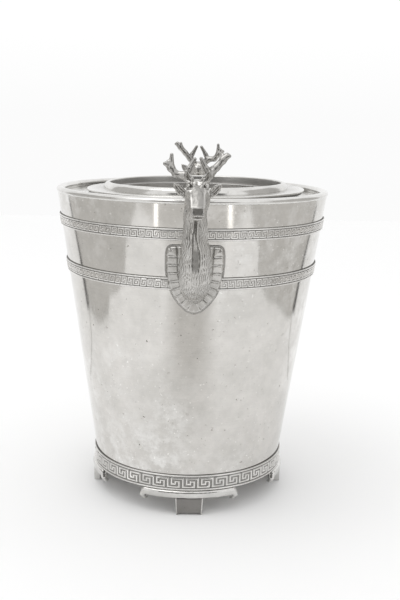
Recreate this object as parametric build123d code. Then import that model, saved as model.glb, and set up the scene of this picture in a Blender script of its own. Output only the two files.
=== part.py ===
from build123d import *
from math import cos, radians, sin
import os

# Silver champagne bucket with a loose collar, a lift-out liner and a stag's head front and back.
# Millimetres, +Z up, origin on the floor at the bucket's axis. The front is -Y.

# Tapered wall: the outer radius grows evenly with height.
TAPER = 0.14275
WALL_FOOT_Z = 20.5
WALL_FOOT_R = 77.13
WALL_TOP_Z = 249.5
SHEET = 1.4
FLOOR_Z = 23.0

# Rolled rim and the flat seat inside it
RIM_MID_Z = 250.6
RIM_MID_R = 107.2
RIM_HALF_WIDTH = 3.5
RIM_HALF_HEIGHT = 2.5
SEAT_TOP_Z = RIM_MID_Z - RIM_HALF_HEIGHT
SEAT_THICK = 1.2
SEAT_BORE_R = 83.0

# Applied bands: bottom and top heights, and how far each stands off the wall
UPPER_BAND = (222.7, 231.6)
LOWER_BAND = (185.7, 195.1)
BAND_PROUD = 1.4
BAND_RIDGE = 1.3
BAND_SUNK = 0.5
BASE_BAND = (20.5, 33.3)
BASE_BAND_R = 80.3
BASE_RIDGE = 1.6

# Four feet: a curved bar under the wall and a broad leg below the bar's middle
FOOT_HALF_ANGLE = 27.4
BAR_BOTTOM_Z = 14.0
BAR_OUTER_R = 81.6
BAR_INNER_R = 75.0
CURL_TIP_R = 75.0
CURL_TIP_Z = 9.5
CURL_ROOT_R = 2.1
CURL_TIP_BALL_R = 0.9
LEG_TOP_WIDTH = 22.2
LEG_FOOT_WIDTH = 20.6
LEG_OUTER_R = 80.3
LEG_INNER_R = 75.0
LEG_HOLLOW = 1.0

# Stag mount: shield plaque, neck and head, antlers
PLAQUE_HALF_WIDTH = 21.0
PLAQUE_BOTTOM_Z = 168.0
PLAQUE_TOP_Z = 219.0
PLAQUE_PROUD = 3.6
NECK_CLEAR = 2.2
MUZZLE_DROP = 30.0
EAR_ROOT_R = 2.6
EAR_TIP_R = 0.9
STUD_R = 1.5
STUD_HEIGHTS = (180.0, 207.0)
STUD_IN_PLAQUE = 2.4
NUT_R = 3.2
NUT_LENGTH = 4.0

# Loose collar: flange on the seat, raised lip around the opening, locating skirt below
COLLAR_R = 88.9
COLLAR_BORE_R = 70.0
FLANGE_TOP_Z = 251.3
FLANGE_SHADOW = 1.6
LIP_OUTER_R = 75.0
LIP_CREST_R = 71.3
LIP_ROUND = 1.3
LIP_TOP_Z = 256.5
SKIRT_R = 79.0
SKIRT_DEPTH = 9.0

# The loose collar and the liner in it lie this far to the right of the bucket's axis
LOOSE_SHIFT = 2.5

# Lift-out liner standing on the bucket's floor
LINER_R = 66.2
LINER_SHEET = 1.2
LINER_RIM_R = 69.2
LINER_RIM_Z = (248.8, 252.0)

FOOT_TURNS = {"front": 0.0, "right": 90.0, "back": 180.0, "left": 270.0}
# The back mount was fitted by hand and sits a few degrees off true.
STAG_TURNS = {"front": 0.0, "back": 175.8}


def wall_radius(height, offset=0.0):
    """Outer radius of the wall at a height, moved outwards by an offset."""
    return WALL_FOOT_R + TAPER * (height - WALL_FOOT_Z) + offset


def spun(*outline):
    """A ring or cup spun about Z from straight lines through (radius, height) points."""
    return revolve(Plane.XZ * make_face(Polyline(*outline, close=True)), Axis.Z)


def cone_ring(bottom, top, inner_offset, outer_offset):
    """A ring between two cones that both follow the wall's taper."""
    return spun(
        (wall_radius(bottom, inner_offset), bottom),
        (wall_radius(bottom, outer_offset), bottom),
        (wall_radius(top, outer_offset), top),
        (wall_radius(top, inner_offset), top),
    )


def turned(shape, degrees):
    """Turn a shape made at the front round the bucket's axis."""
    return Rot(0, 0, degrees) * shape


# ---- bucket ----

def bucket_wall():
    return cone_ring(WALL_FOOT_Z, WALL_TOP_Z, -SHEET, 0.0)


def bucket_floor():
    return spun(
        (0, FLOOR_Z),
        (wall_radius(FLOOR_Z, -SHEET), FLOOR_Z),
        (wall_radius(FLOOR_Z + SHEET, -SHEET), FLOOR_Z + SHEET),
        (0, FLOOR_Z + SHEET),
    )


def rim_moulding():
    """Rolled edge, filled down to the seat on its inner side."""
    roll = Pos(RIM_MID_R, RIM_MID_Z) * Ellipse(RIM_HALF_WIDTH, RIM_HALF_HEIGHT)
    height = RIM_MID_Z - SEAT_TOP_Z
    fill = Pos(RIM_MID_R - RIM_HALF_WIDTH / 2, SEAT_TOP_Z + height / 2) * Rectangle(RIM_HALF_WIDTH, height)
    return revolve(Plane.XZ * (roll + fill), Axis.Z) - bucket_wall()


def collar_seat():
    low = SEAT_TOP_Z - SEAT_THICK
    return spun(
        (SEAT_BORE_R, low),
        (wall_radius(low, -SHEET), low),
        (wall_radius(SEAT_TOP_Z, -SHEET), SEAT_TOP_Z),
        (SEAT_BORE_R, SEAT_TOP_Z),
    )


def key_band(bottom, top):
    """A band round the tapered wall: two border ridges with a sunk strip between them."""
    band = cone_ring(bottom, top, 0.0, BAND_PROUD)
    strip = cone_ring(bottom + BAND_RIDGE, top - BAND_RIDGE, BAND_PROUD - BAND_SUNK, BAND_PROUD + 1)
    return band - strip


def base_key_band():
    bottom, top = BASE_BAND
    strip_r = BASE_BAND_R - BAND_SUNK
    return spun(
        (wall_radius(bottom), bottom),
        (BASE_BAND_R, bottom),
        (BASE_BAND_R, bottom + BASE_RIDGE),
        (strip_r, bottom + BASE_RIDGE),
        (strip_r, top - BASE_RIDGE),
        (BASE_BAND_R, top - BASE_RIDGE),
        (BASE_BAND_R, top),
        (wall_radius(top), top),
    )


# ---- feet ----

def foot_bar():
    """Curved bar under the wall, with its two ends curled down and in to a small nub."""
    top = WALL_FOOT_Z
    nose = 0.7
    profile = Plane.XZ * make_face(Polyline(
        (BAR_INNER_R, BAR_BOTTOM_Z),
        (BAR_OUTER_R - 1, BAR_BOTTOM_Z),
        (BAR_OUTER_R, BAR_BOTTOM_Z + 1),
        (BAR_OUTER_R, top - nose - 1),
        (BAR_OUTER_R - 1, top - nose),
        (BASE_BAND_R, top - nose),
        (BASE_BAND_R - nose, top),
        (BAR_INNER_R, top),
        close=True,
    ))
    turn = Rot(0, 0, -90 - FOOT_HALF_ANGLE)
    bar = revolve(turn * profile, Axis.Z, 2 * FOOT_HALF_ANGLE)
    curl_start = (0, -(BAR_OUTER_R + CURL_TIP_R) / 2, BAR_BOTTOM_Z + CURL_ROOT_R)
    curl = tapered_rod(curl_start, (0, -CURL_TIP_R, CURL_TIP_Z), CURL_ROOT_R, CURL_TIP_BALL_R)
    for angle in (-FOOT_HALF_ANGLE, FOOT_HALF_ANGLE):
        bar += Rot(0, 0, angle) * curl
    return bar


def foot_leg():
    """Broad leg from the bar to the floor, slightly narrower at the foot, hollowed in front."""
    outline = Polyline(
        (-LEG_FOOT_WIDTH / 2, 0),
        (LEG_FOOT_WIDTH / 2, 0),
        (LEG_TOP_WIDTH / 2, BAR_BOTTOM_Z),
        (-LEG_TOP_WIDTH / 2, BAR_BOTTOM_Z),
        close=True,
    )
    block = extrude(Plane.XZ.offset(LEG_INNER_R) * make_face(outline), LEG_OUTER_R - LEG_INNER_R)
    half = LEG_FOOT_WIDTH / 2 - 1.2
    hollow_r = (half ** 2 + LEG_HOLLOW ** 2) / (2 * LEG_HOLLOW)
    hollow_y = -LEG_OUTER_R - hollow_r + LEG_HOLLOW
    hollow = Pos(0, hollow_y, BAR_BOTTOM_Z / 2) * Cylinder(hollow_r, 2 * BAR_BOTTOM_Z)
    return block - hollow


# ---- stag mounts ----

def tapered_rod(start, end, start_r, end_r):
    """Round rod between two points, tapering, with a ball at each end."""
    run = Vector(*end) - Vector(*start)
    plane = Plane(origin=start, z_dir=run)
    rod = plane * Pos(0, 0, run.length / 2) * Cone(start_r, end_r, run.length)
    return rod + Pos(*start) * Sphere(start_r) + Pos(*end) * Sphere(end_r)


def stud_axes():
    """Points on the wall's outside where the plaque's studs go through."""
    return [(0, -wall_radius(height), height) for height in STUD_HEIGHTS]


def stud(extra_r=0.0):
    """Both studs of the front plaque, from inside the plaque to inside the nut."""
    inward = SHEET + NUT_LENGTH - 1
    length = STUD_IN_PLAQUE + inward
    rods = [
        Pos(0, y + (inward - STUD_IN_PLAQUE) / 2, z) * Rot(90, 0, 0) * Cylinder(STUD_R + extra_r, length)
        for _, y, z in stud_axes()
    ]
    return rods[0] + rods[1]


def nuts():
    """Domed nuts on the inside of the wall, one on each stud of the front plaque."""
    room = spun(
        (0, PLAQUE_BOTTOM_Z),
        (wall_radius(PLAQUE_BOTTOM_Z, -SHEET), PLAQUE_BOTTOM_Z),
        (wall_radius(PLAQUE_TOP_Z, -SHEET), PLAQUE_TOP_Z),
        (0, PLAQUE_TOP_Z),
    )
    found = []
    for _, y, z in stud_axes():
        seat_y = y + SHEET
        body = Pos(0, seat_y + NUT_LENGTH / 2 - 0.5, z) * Rot(90, 0, 0) * Cylinder(NUT_R, NUT_LENGTH + 1)
        dome = Pos(0, seat_y + NUT_LENGTH, z) * Sphere(NUT_R * 0.8)
        found.append(((body + dome) & room) - stud())
    return found


def plaque_outline():
    """Shield: two square shoulders either side of the neck, round sides, narrow round tip."""
    half = PLAQUE_HALF_WIDTH
    side_top = PLAQUE_TOP_Z - 11
    shoulder = PLAQUE_TOP_Z - 3
    tip = 6.0
    right_side = [
        (half, side_top),
        (half * 0.94, PLAQUE_BOTTOM_Z + 26),
        (half * 0.66, PLAQUE_BOTTOM_Z + 10),
        (tip, PLAQUE_BOTTOM_Z + 1),
    ]
    left_side = [(-x, z) for x, z in reversed(right_side)]
    right_top = [(half * 0.6, PLAQUE_TOP_Z), (half * 0.88, shoulder), (half, side_top)]
    left_top = [(-x, z) for x, z in reversed(right_top)]
    bottom = ThreePointArc(right_side[-1], (0, PLAQUE_BOTTOM_Z), left_side[0])
    top = Polyline(*left_top, *right_top)
    return make_face([Spline(*right_side), bottom, Spline(*left_side), *top.edges()])


def stag_plaque():
    """Shield that follows the wall and sits over the lower band."""
    prism = extrude(Plane.XZ.offset(wall_radius(PLAQUE_BOTTOM_Z) - 12) * plaque_outline(), 40)
    skin = cone_ring(PLAQUE_BOTTOM_Z - 5, PLAQUE_TOP_Z + 5, 0.0, PLAQUE_PROUD)
    return (prism & skin) - key_band(*LOWER_BAND) - stud()


def oval(height, y, half_width, half_depth):
    """One level oval section of the neck."""
    return Pos(0, y, height) * Ellipse(half_width, half_depth)


def stag_bust():
    """Chest, neck and head in one casting, with two ears."""
    neck = loft([
        oval(173, -104, 4, 3),
        oval(180, -105, 9, 7),
        oval(192, -107, 12.2, 11),
        oval(206, -111, 12.4, 13),
        oval(219, -115.5, 11.2, 12.5),
        oval(234, -121.5, 8.6, 9.5),
        oval(246, -124, 7.8, 9),
        oval(256, -124, 7.6, 9),
    ])
    # Sections from the back of the skull to the nose: y, height, half width, half height.
    head_sections = [
        (-116.5, 262.0, 5.0, 5.0),
        (-121.0, 261.0, 7.4, 8.0),
        (-128.0, 257.0, 7.6, 8.0),
        (-135.0, 251.5, 5.4, 6.0),
        (-142.0, 247.0, 4.2, 4.4),
    ]
    muzzle_way = (0, -cos(radians(MUZZLE_DROP)), -sin(radians(MUZZLE_DROP)))
    head = loft([
        Plane(origin=(0, y, z), x_dir=(1, 0, 0), z_dir=muzzle_way) * Ellipse(half_width, half_height)
        for y, z, half_width, half_height in head_sections
    ])
    bust = neck + head
    for hand in (-1, 1):
        ear_root = (hand * 6.5, -119.5, 259.5)
        ear_tip = (hand * 15.2, -121.5, 263.3)
        bust += tapered_rod(ear_root, ear_tip, EAR_ROOT_R, EAR_TIP_R)
    rim_low = RIM_MID_Z - 6
    rim_high = RIM_MID_Z + 4.5
    clear_r = RIM_MID_R + RIM_HALF_WIDTH + 1
    inside_r = 80
    keep_off_wall = cone_ring(PLAQUE_BOTTOM_Z - 10, PLAQUE_TOP_Z, -30, PLAQUE_PROUD)
    keep_off_band = cone_ring(PLAQUE_TOP_Z, rim_low, -30, NECK_CLEAR)
    keep_off_rim = spun((inside_r, rim_low), (clear_r, rim_low), (clear_r, rim_high), (inside_r, rim_high))
    return bust - keep_off_wall - keep_off_band - keep_off_rim


# The stag's own left antler, at +X in front, runs straight out and up. Its right one is shorter,
# runs level first and then turns up to a crown of two points. Each point: x, y, height, radius.
LEFT_BEAM = [
    (5.2, -119, 265.0, 2.2),
    (8.8, -117.5, 270.5, 1.9),
    (15.4, -115, 278.2, 1.7),
    (20.2, -114, 285.0, 1.3),
]
LEFT_TINES = [
    ((8.0, -118, 269.5, 1.5), (1.8, -118, 281.5, 0.7)),
    ((16.8, -114.6, 280.0, 1.3), (21.8, -115.5, 282.2, 0.6)),
    ((7.0, -119, 268.0, 1.4), (8.6, -124.5, 273.5, 0.6)),
]
RIGHT_BEAM = [
    (-5.2, -119, 265.0, 2.2),
    (-9.8, -117.5, 269.8, 1.9),
    (-15.8, -116.2, 270.6, 1.75),
    (-18.8, -115, 275.5, 1.5),
]
RIGHT_TINES = [
    ((-8.0, -118, 269.0, 1.5), (-1.8, -118, 281.0, 0.7)),
    ((-18.5, -115, 274.9, 1.3), (-18.0, -114.5, 283.6, 0.6)),
    ((-18.3, -115.2, 274.4, 1.2), (-22.4, -115.5, 277.8, 0.6)),
    ((-7.0, -119, 268.0, 1.4), (-8.6, -124.5, 273.5, 0.6)),
]


def antler(beam, tines):
    """One antler of the front stag: tapered lengths of beam with tines branching off."""
    found = Part()
    for start, end in list(zip(beam, beam[1:])) + tines:
        found += tapered_rod(start[:3], end[:3], start[3], end[3])
    return found


# ---- collar and liner ----

def collar_flange():
    return spun(
        (COLLAR_BORE_R, SEAT_TOP_Z),
        (COLLAR_R - 2, SEAT_TOP_Z),
        (COLLAR_R - 2, SEAT_TOP_Z + FLANGE_SHADOW),
        (COLLAR_R, SEAT_TOP_Z + FLANGE_SHADOW),
        (COLLAR_R, FLANGE_TOP_Z - 0.5),
        (COLLAR_R - 0.5, FLANGE_TOP_Z),
        (COLLAR_BORE_R, FLANGE_TOP_Z),
    )


def collar_lip():
    """Ring standing on the flange: upright inside, rounded over and sloping down outside."""
    inner = COLLAR_BORE_R
    shoulder = (inner, LIP_TOP_Z - LIP_ROUND)
    crest = (LIP_CREST_R, LIP_TOP_Z)
    foot = (LIP_OUTER_R, FLANGE_TOP_Z)
    outline = Line((inner, FLANGE_TOP_Z), shoulder)
    outline += TangentArc(shoulder, crest, tangent=(0, 1))
    outline += TangentArc(crest, foot, tangent=(1, 0))
    outline += Line(foot, (inner, FLANGE_TOP_Z))
    return revolve(Plane.XZ * make_face(outline), Axis.Z)


def collar_skirt():
    return spun(
        (SKIRT_R - SHEET, SEAT_TOP_Z - SKIRT_DEPTH),
        (SKIRT_R, SEAT_TOP_Z - SKIRT_DEPTH),
        (SKIRT_R, SEAT_TOP_Z),
        (SKIRT_R - SHEET, SEAT_TOP_Z),
    )


def liner_wall():
    inner = LINER_R - LINER_SHEET
    foot = FLOOR_Z + SHEET + LINER_SHEET
    top = LINER_RIM_Z[1] - 1
    return spun((inner, foot), (LINER_R, foot), (LINER_R, top), (inner, top))


def liner_floor():
    """Disc under the wall, resting on the bucket's floor."""
    low = FLOOR_Z + SHEET
    return spun((0, low), (LINER_R, low), (LINER_R, low + LINER_SHEET), (0, low + LINER_SHEET))


def liner_rim():
    """Rolled ring round the outside of the liner's top edge."""
    low, high = LINER_RIM_Z
    half_width = (LINER_RIM_R - LINER_R + LINER_SHEET) / 2
    middle = LINER_RIM_R - half_width
    profile = Plane.XZ * Pos(middle, (low + high) / 2) * Ellipse(half_width, (high - low) / 2)
    return revolve(profile, Axis.Z) - liner_wall()


def make_parts():
    studs = {side: turned(stud(), turn) for side, turn in STAG_TURNS.items()}
    parts = {
        "bucket_wall": bucket_wall() - studs["front"] - studs["back"],
        "bucket_floor": bucket_floor(),
        "rim_moulding": rim_moulding(),
        "collar_seat": collar_seat(),
        "upper_key_band": key_band(*UPPER_BAND),
        "lower_key_band": key_band(*LOWER_BAND),
        "base_key_band": base_key_band(),
    }
    loose = {
        "collar_flange": collar_flange(),
        "collar_lip": collar_lip(),
        "collar_skirt": collar_skirt(),
        "liner_wall": liner_wall(),
        "liner_floor": liner_floor(),
        "liner_rim": liner_rim(),
    }
    for name, shape in loose.items():
        parts[name] = Pos(LOOSE_SHIFT, 0, 0) * shape
    for side, turn in FOOT_TURNS.items():
        parts["foot_bar_" + side] = turned(foot_bar(), turn)
        parts["foot_leg_" + side] = turned(foot_leg(), turn)
    plaque = stag_plaque()
    bust = stag_bust()
    left = antler(LEFT_BEAM, LEFT_TINES) - bust
    right = antler(RIGHT_BEAM, RIGHT_TINES) - bust
    for side, turn in STAG_TURNS.items():
        parts["stag_plaque_" + side] = turned(plaque, turn)
        parts["stag_bust_" + side] = turned(bust, turn)
        parts["antler_left_" + side] = turned(left, turn)
        parts["antler_right_" + side] = turned(right, turn)
    parts["stud_nuts"] = Compound([turned(nut, turn) for turn in STAG_TURNS.values() for nut in nuts()])
    parts["plaque_studs"] = Compound([solid for pair in studs.values() for solid in pair.solids()])
    return parts


os.makedirs("parts", exist_ok=True)
for name, shape in make_parts().items():
    export_step(shape, f"parts/{name}.step")
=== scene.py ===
import bpy
import math
import random
import bmesh
import numpy as np
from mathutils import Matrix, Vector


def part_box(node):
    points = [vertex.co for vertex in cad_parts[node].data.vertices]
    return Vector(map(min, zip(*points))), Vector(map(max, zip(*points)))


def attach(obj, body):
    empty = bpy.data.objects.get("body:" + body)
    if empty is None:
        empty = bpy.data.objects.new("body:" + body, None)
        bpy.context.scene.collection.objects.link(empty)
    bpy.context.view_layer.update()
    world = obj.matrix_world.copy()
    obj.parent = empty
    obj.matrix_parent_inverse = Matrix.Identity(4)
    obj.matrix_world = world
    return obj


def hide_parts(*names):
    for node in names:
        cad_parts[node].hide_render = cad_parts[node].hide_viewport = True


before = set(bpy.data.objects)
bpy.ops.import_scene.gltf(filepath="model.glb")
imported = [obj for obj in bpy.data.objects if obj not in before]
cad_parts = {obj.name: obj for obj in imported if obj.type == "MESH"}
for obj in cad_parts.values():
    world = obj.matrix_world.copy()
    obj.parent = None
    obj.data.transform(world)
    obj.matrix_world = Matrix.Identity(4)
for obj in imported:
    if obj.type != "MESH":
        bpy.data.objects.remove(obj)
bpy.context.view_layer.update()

import openvdb as vdb
from mathutils import Matrix, Vector, noise

# Silver champagne bucket with stag's heads. Metres, +Z up, the front stag faces -Y.

MM = 0.001

# Places read from the CAD parts in model.glb
WALL_LOW, WALL_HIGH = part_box("bucket_wall")
FLOOR_LOW, FLOOR_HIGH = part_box("bucket_floor")
RIM_LOW, RIM_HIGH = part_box("rim_moulding")
SEAT_LOW, SEAT_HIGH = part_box("collar_seat")
FLANGE_LOW, FLANGE_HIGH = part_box("collar_flange")
LIP_LOW, LIP_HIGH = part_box("collar_lip")
LINER_LOW, LINER_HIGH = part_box("liner_wall")
LINER_RIM_LOW, LINER_RIM_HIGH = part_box("liner_rim")
SHEET = FLOOR_HIGH.z - FLOOR_LOW.z
WALL_TOP_R_MM = WALL_HIGH.x / MM
WALL_TOP_Z_MM = WALL_HIGH.z / MM
TAPER = (WALL_HIGH.x - SHEET - FLOOR_HIGH.x) / (WALL_HIGH.z - FLOOR_HIGH.z)

LINER_SHEET = 1.2 * MM
RIM_HALF_WIDTH = 3.5 * MM
SEAT_BORE = 83 * MM
COLLAR_BORE = 70 * MM
COLLAR_RADIUS = (FLANGE_HIGH.x - FLANGE_LOW.x) / 2
# Step under the collar's edge: height and depth
FLANGE_STEP = 1.6 * MM
STEP_DEPTH = 2.0 * MM
# The collar and the liner lie a little to the right, and the collar leans up on that side
LOOSE_SHIFT = (FLANGE_HIGH.x + FLANGE_LOW.x) / 2
COLLAR_LEAN = math.radians(0.75)

# Facets round the bucket, and how close together the swells in its spun metal lie, round and up
ROUND = 384
SWELLS_ROUND = 2.2
SWELLS_UP = 22

# Greek key: one unit of the running line, top row first. Columns and rows are in turn a line and a gap.
KEY_UNIT = [
    "#.######",
    "#.#.....",
    "#.#.###.",
    "#.#.#.#.",
    "#.###.#.",
    "#.....#.",
    "#######.",
]
KEY_LINE_SHARE = 0.49
WALL_BAND_UNITS = 118
BASE_BAND_UNITS = 42
# Shares: gap beside the key of its strip, bevel of a line's height, edge of a step's length
KEY_GAP = 0.09
KEY_BEVEL = 0.09
KEY_EDGE = 0.07

# Turns about Z from the front, in degrees
FOOT_TURNS = {"front": 0, "right": 90, "back": 180, "left": 270}
STAG_TURNS = {"front": 0, "back": 175.8}

# Top edge of the stags' plaques, and the fineness of the sculpted castings, millimetres
PLAQUE_TOP = 219.0
STAG_CELL = 0.4
FOOT_CELL = 0.55


def wall_radius(height):
    """Outer radius of the tapered wall at a height."""
    return WALL_HIGH.x - TAPER * (WALL_HIGH.z - height)


# ---- materials ----

BLACK = (0.0, 0.0, 0.0)
WHITE = (1.0, 1.0, 1.0)
# The mix node's factor and colour sockets, by number, because several share one name
MIX_INPUTS = (0, 6, 7)
MIX_OUTPUT = 2


def feed(tree, place, value):
    """Link an input to a socket, or set it to a constant."""
    if isinstance(value, bpy.types.NodeSocket):
        tree.links.new(value, place)
    else:
        place.default_value = value


def node(tree, kind, **values):
    """Add one shader node and feed its inputs; a name's underscore stands for a space."""
    made = tree.nodes.new("ShaderNode" + kind)
    for name, value in values.items():
        feed(tree, made.inputs[name.replace("_", " ")], value)
    return made


def noise_node(tree, scale, detail, roughness, stretch=(1, 1, 1)):
    """Noise in object space, stretched along the axes."""
    where = node(tree, "TexCoord").outputs["Object"]
    scaled = node(tree, "Mapping", Vector=where, Scale=stretch).outputs["Vector"]
    made = node(tree, "TexNoise", Vector=scaled, Scale=scale, Detail=detail, Roughness=roughness)
    return made.outputs["Fac"]


def ramp(tree, source, start, end, first=0.0, last=1.0):
    """Grey that goes from first to last as the source goes from start to end."""
    made = node(tree, "ValToRGB", Fac=source)
    for element, position, grey in zip(made.color_ramp.elements, (start, end), (first, last)):
        element.position = position
        element.color = (grey, grey, grey, 1)
    return made.outputs["Color"]


def mix(tree, factor, first, second, blend="MIX"):
    """Mix two colours; each of the three is a socket or a constant."""
    made = node(tree, "Mix")
    made.data_type = "RGBA"
    made.blend_type = blend
    for place, value in zip(MIX_INPUTS, (factor, first, second)):
        feed(tree, made.inputs[place], (*value, 1) if isinstance(value, tuple) else value)
    return made.outputs[MIX_OUTPUT]


def blank_material(name):
    """A material with nothing but its output node."""
    made = bpy.data.materials.new(name)
    made.use_nodes = True
    made.node_tree.nodes.clear()
    return made, made.node_tree, node(made.node_tree, "OutputMaterial")


def add_bloom(tree, tone):
    """Pale bloom on one side of the piece, with small bright flecks that are thickest there."""
    zone = ramp(tree, noise_node(tree, 9, 3, 0.5, (-1, 1, 1)), 0.42, 0.60)
    flecks = ramp(tree, noise_node(tree, 520, 1, 0.4), 0.71, 0.76)
    haze = ramp(tree, noise_node(tree, 75, 9, 0.7), 0.46, 0.62)
    tone = mix(tree, mix(tree, zone, BLACK, haze), tone, (0.80, 0.79, 0.77))
    fleck = mix(tree, mix(tree, 0.7, WHITE, zone), BLACK, flecks)
    return mix(tree, fleck, tone, (0.97, 0.96, 0.94))


def silver(name, bright, dark, rough, pits, brush, recess=None, bloom=False):
    """Antique silver plate: mottled tone, faint brushing round the piece, dark pits and dull spots.

    recess is the colour that the piece's recess attribute fades to, where it has one: tarnish, and painted
    shade in hollows, seams and under edges."""
    made, tree, out = blank_material(name)
    cloud = noise_node(tree, 28, 5, 0.6)
    blotch = noise_node(tree, 140, 6, 0.62)
    brushed = noise_node(tree, 60, 3, 0.6, (1, 1, 22))
    specks = noise_node(tree, 900, 2, 0.5)
    spots = noise_node(tree, 330, 3, 0.5)

    tone = mix(tree, ramp(tree, cloud, 0.35, 0.68), dark, bright)
    tone = mix(tree, 0.16, tone, ramp(tree, blotch, 0.3, 0.7, 0.35), "MULTIPLY")
    tone = mix(tree, 0.10 * brush, tone, ramp(tree, brushed, 0.3, 0.7, 0.3), "MULTIPLY")
    tone = mix(tree, ramp(tree, specks, 0.20, 0.27, 1.0, 0.0), tone, (0.16, 0.15, 0.13))
    spot = mix(tree, 1.0 - pits, ramp(tree, spots, 0.24, 0.32, 1.0, 0.0), BLACK)
    tone = mix(tree, spot, tone, (0.30, 0.29, 0.26))
    if bloom:
        tone = add_bloom(tree, tone)
    roughness = ramp(tree, cloud, 0.3, 0.7, rough * 1.25, rough * 0.85)
    roughness = mix(tree, spot, roughness, (0.6, 0.6, 0.6))
    if recess:
        # The recess attribute darkens the tone towards the recess colour: tarnish, and painted shade in
        # hollows, seams and under edges.
        held = node(tree, "Attribute")
        held.attribute_name = "recess"
        tone = mix(tree, held.outputs["Fac"], tone, recess)
        roughness = mix(tree, held.outputs["Fac"], roughness, (0.62, 0.62, 0.62))
    normal = None
    for height, strength, distance in ((cloud, 0.10, 0.30 * MM), (blotch, 0.10, 0.12 * MM),
                                       (brushed, 0.10 * brush, 0.06 * MM)):
        bump = node(tree, "Bump", Height=height, Strength=strength, Distance=distance)
        if normal:
            feed(tree, bump.inputs["Normal"], normal)
        normal = bump.outputs["Normal"]
    shader = node(tree, "BsdfPrincipled", Base_Color=tone, Metallic=1.0, Roughness=roughness,
                  Normal=normal)
    feed(tree, out.inputs["Surface"], shader.outputs["BSDF"])
    return made


def make_materials():
    """Each material's bright tone, dark tone, roughness, pits, brushing and recess colour: the tarnish and
    painted shade in its hollows, seams and under its edges.
    """
    return {
        "wall": silver("wall_silver", (0.74, 0.72, 0.69), (0.65, 0.635, 0.605), 0.10, 0.8, 0.6, bloom=True),
        # rim and collar: the recess colour is painted shade under the rim's roll and in the collar's bore
        # and step
        "rim": silver("rim_silver", (0.83, 0.82, 0.795), (0.69, 0.68, 0.66), 0.16, 0.6, 0.6,
                      (0.26, 0.255, 0.245)),
        # bands: the recess colour is painted shade at the ridges' edges, beside the key and against the
        # wall, and tarnish with painted shade on the key's ground
        "band": silver("band_silver", (0.97, 0.955, 0.93), (0.86, 0.845, 0.82), 0.17, 0.3, 0.2,
                       (0.17, 0.165, 0.155)),
        # stag: the recess colour is tarnish and painted shade in the hollows, and painted shade round the
        # plaque, on the nose pad, bridge and breast's groove
        "stag": silver("stag_silver", (0.66, 0.645, 0.62), (0.50, 0.49, 0.47), 0.22, 0.2, 0.0,
                       (0.13, 0.125, 0.115)),
        # feet: the recess colour is tarnish and painted shade in the hollows, and painted shade on the
        # legs' faces
        "foot": silver("foot_silver", (0.78, 0.77, 0.75), (0.62, 0.61, 0.59), 0.12, 0.4, 0.3,
                       (0.16, 0.15, 0.14)),
        # antlers: the stag's silver painted darker, as painted shade; the recess colour is tarnish and
        # painted shade in the hollows
        "antler": silver("antler_silver_painted_shade", (0.52, 0.51, 0.49), (0.38, 0.37, 0.355), 0.24, 0.2, 0.0,
                         (0.10, 0.095, 0.09)),
        "liner": silver("liner_metal", (0.86, 0.845, 0.82), (0.72, 0.705, 0.68), 0.32, 0.8, 1.0),
        # liner's bead: the liner metal painted darker, as painted shade inside the bore
        "liner_edge": silver("liner_edge_painted_shade", (0.50, 0.49, 0.475), (0.38, 0.37, 0.36), 0.38, 0.8, 1.0),
        "fixing": silver("fixing_steel", (0.5, 0.49, 0.47), (0.38, 0.37, 0.36), 0.40, 0.6, 0.0),
    }


# ---- mesh helpers ----

def add_piece(name, points, faces, material, body, node_name, sharp=40):
    """Make an object from points and faces, smooth it, ride it on its body, stand it for its CAD node."""
    mesh = bpy.data.meshes.new(name)
    mesh.from_pydata([tuple(point) for point in points], [], faces)
    mesh.validate()
    work = bmesh.new()
    work.from_mesh(mesh)
    bmesh.ops.recalc_face_normals(work, faces=work.faces)
    work.to_mesh(mesh)
    work.free()
    mesh.materials.append(material)
    mesh.polygons.foreach_set("use_smooth", [True] * len(mesh.polygons))
    mesh.set_sharp_from_angle(angle=math.radians(sharp))
    obj = bpy.data.objects.new(name, mesh)
    bpy.context.scene.collection.objects.link(obj)
    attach(obj, body)
    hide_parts(node_name)
    return obj


def read_vectors(items, name):
    """One vector a row, read from a mesh's items."""
    values = np.empty(len(items) * 3)
    items.foreach_get(name, values)
    return values.reshape(-1, 3)


def set_recess(obj, values):
    """Store how deep in a recess each vertex lies, 0 to 1, for the material."""
    held = obj.data.attributes.new("recess", "FLOAT", "POINT")
    held.data.foreach_set("value", [float(value) for value in values])


def ring_faces(rings, columns):
    """Quads between rings of points stored one after another, with the last ring joined to the first."""
    faces = []
    for ring in range(rings):
        low = ring * columns
        high = (ring + 1) % rings * columns
        for column in range(columns):
            after = (column + 1) % columns
            faces.append((low + column, low + after, high + after, high + column))
    return faces


def spun(name, outline, material, body, node_name, wobble=0.0):
    """Spin an outline of (radius, height) points round Z, a little unevenly as hand-worked metal is."""
    points = []
    for radius, height in outline:
        for step in range(ROUND):
            turn = 2 * math.pi * step / ROUND
            way = Vector((math.cos(turn), math.sin(turn), 0))
            swell = noise.noise(Vector((way.x * SWELLS_ROUND, way.y * SWELLS_ROUND, height * SWELLS_UP)))
            uneven = radius + wobble * swell
            points.append((way.x * uneven, way.y * uneven, height))
    faces = ring_faces(len(outline), ROUND)
    return add_piece(name, points, faces, material, body, node_name)


def arc(centre_r, centre_z, half_width, half_height, start, end, steps):
    """Points of an oval arc in the (radius, height) plane, angles in degrees from outwards."""
    found = []
    for step in range(steps + 1):
        turn = math.radians(start + (end - start) * step / steps)
        found.append((centre_r + half_width * math.cos(turn), centre_z + half_height * math.sin(turn)))
    return found


# ---- round pieces ----

def make_wall(materials):
    rows = 90
    heights = [WALL_LOW.z + (WALL_HIGH.z - WALL_LOW.z) * k / rows for k in range(rows + 1)]
    outside = [(wall_radius(height), height) for height in heights]
    inside = [(radius - SHEET, height) for radius, height in reversed(outside)]
    spun("wall", outside + inside, materials["wall"], "bucket", "bucket_wall", 0.22 * MM)


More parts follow.
